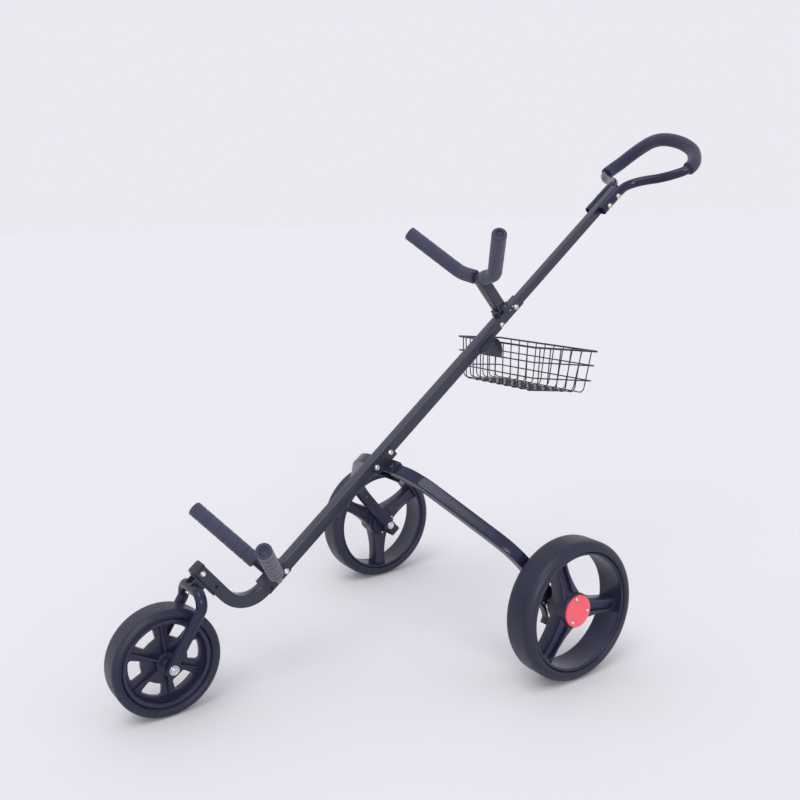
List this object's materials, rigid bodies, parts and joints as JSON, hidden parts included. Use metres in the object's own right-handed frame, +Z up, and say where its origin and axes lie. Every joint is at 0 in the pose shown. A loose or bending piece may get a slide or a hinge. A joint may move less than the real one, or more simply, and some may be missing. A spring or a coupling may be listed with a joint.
{
  "type": "golf push trolley",
  "caption": "Folding push trolley for a golf bag: square-tube spine on wheels, padded bag cradles, wire basket and a padded loop handle.",
  "frame": {"origin": "on the ground, under the middle of the bounding box", "axes": "+X towards the trolley's own left wheel, +Y back towards the handle, +Z up; the front wheel points to -Y"},
  "size_m": [0.7846, 1.4983, 1.1108],
  "materials": {
    "frame_paint": "gloss black powder coat",
    "bracket_steel": "satin black paint",
    "zinc_hardware": "bright zinc plate",
    "foam_grip": "closed-cell foam, matt",
    "wheel_plastic": "satin moulded",
    "trim_plastic": "satin moulded",
    "tyre": "satin foam rubber",
    "cap_red": "satin",
    "basket_wire": "black coated wire"
  },
  "bodies": {
    "frame": {"main_tube": "frame_paint", "front_end_cap": "trim_plastic", "front_bolt": "zinc_hardware", "fork_plate": "bracket_steel", "fork_screw": "zinc_hardware", "arm_bracket": "bracket_steel", "arm_bracket_bolt_upper": "zinc_hardware", "arm_bracket_bolt_lower": "zinc_hardware", "arm_housing": "bracket_steel", "arm_pin_left": "zinc_hardware", "arm_pin_right": "zinc_hardware", "lower_cradle_bracket": "bracket_steel", "lower_cradle_bolt": "zinc_hardware", "lower_cradle_bar_left": "frame_paint", "lower_cradle_bar_right": "frame_paint", "lower_foam_left": "foam_grip", "lower_foam_right": "foam_grip", "lower_plug_left": "trim_plastic", "lower_plug_right": "trim_plastic", "stem_foot": "bracket_steel", "stem_pin": "zinc_hardware", "pivot_bolt": "zinc_hardware", "clamp_bolt": "zinc_hardware", "basket_saddle": "bracket_steel", "basket_hanger": "bracket_steel", "basket": "basket_wire", "front_fork": "frame_paint", "front_axle": "zinc_hardware", "front_spacer_left": "trim_plastic", "front_spacer_right": "trim_plastic"},
    "front_wheel": {"front_rim": "wheel_plastic", "front_tyre": "tyre", "front_bush": "zinc_hardware"},
    "mast": {"mast_tube": "frame_paint", "mast_cap": "trim_plastic", "handle_loop": "frame_paint", "handle_grip": "foam_grip", "handle_bolt_1": "zinc_hardware", "handle_bolt_2": "zinc_hardware"},
    "upper_cradle": {"cradle_stem": "frame_paint", "upper_cradle_tube": "frame_paint", "upper_foam_left": "foam_grip", "upper_foam_right": "foam_grip", "upper_plug_left": "trim_plastic", "upper_plug_right": "trim_plastic"},
    "left_arm": {"arm_left": "frame_paint", "axle_left": "zinc_hardware", "brake_bracket": "bracket_steel", "brake_pin": "zinc_hardware"},
    "right_arm": {"arm_right": "frame_paint", "axle_right": "zinc_hardware"},
    "left_wheel": {"rear_rim_left": "wheel_plastic", "rear_tyre_left": "tyre", "rear_bush_left": "zinc_hardware", "hub_cap_left": "cap_red"},
    "right_wheel": {"rear_rim_right": "wheel_plastic", "rear_tyre_right": "tyre", "rear_bush_right": "zinc_hardware", "hub_cap_right": "cap_red"},
    "brake": {"brake_lever": "bracket_steel"}
  },
  "joints": [
    {"name": "left_arm_fold", "type": "hinge", "parent": "frame", "child": "left_arm", "pos_m": [0.028, -0.11757, 0.39328], "axis": [0, 0.617, -0.7869], "range_deg": [0, 65]},
    {"name": "right_arm_fold", "type": "hinge", "parent": "frame", "child": "right_arm", "pos_m": [-0.028, -0.11757, 0.39328], "axis": [0, -0.617, 0.7869], "range_deg": [0, 65]},
    {"name": "left_wheel_spin", "type": "hinge", "parent": "left_arm", "child": "left_wheel", "pos_m": [0.357, 0.0771, 0.145], "axis": [1, 0, 0], "continuous": true},
    {"name": "right_wheel_spin", "type": "hinge", "parent": "right_arm", "child": "right_wheel", "pos_m": [-0.357, 0.0771, 0.145], "axis": [1, 0, 0], "continuous": true},
    {"name": "front_wheel_spin", "type": "hinge", "parent": "frame", "child": "front_wheel", "pos_m": [0, -0.6418, 0.1074], "axis": [1, 0, 0], "continuous": true},
    {"name": "mast_fold", "type": "hinge", "parent": "frame", "child": "mast", "pos_m": [0, 0.1946, 0.67745], "axis": [-1, 0, 0], "range_deg": [0, 50]},
    {"name": "upper_cradle_fold", "type": "hinge", "parent": "frame", "child": "upper_cradle", "pos_m": [0, 0.20171, 0.71861], "axis": [-1, 0, 0], "range_deg": [0, 88]},
    {"name": "brake_press", "type": "hinge", "parent": "left_arm", "child": "brake", "pos_m": [0.3027, 0.04714, 0.14756], "axis": [-1, 0, 0], "range_deg": [0, 25]}
  ]
}
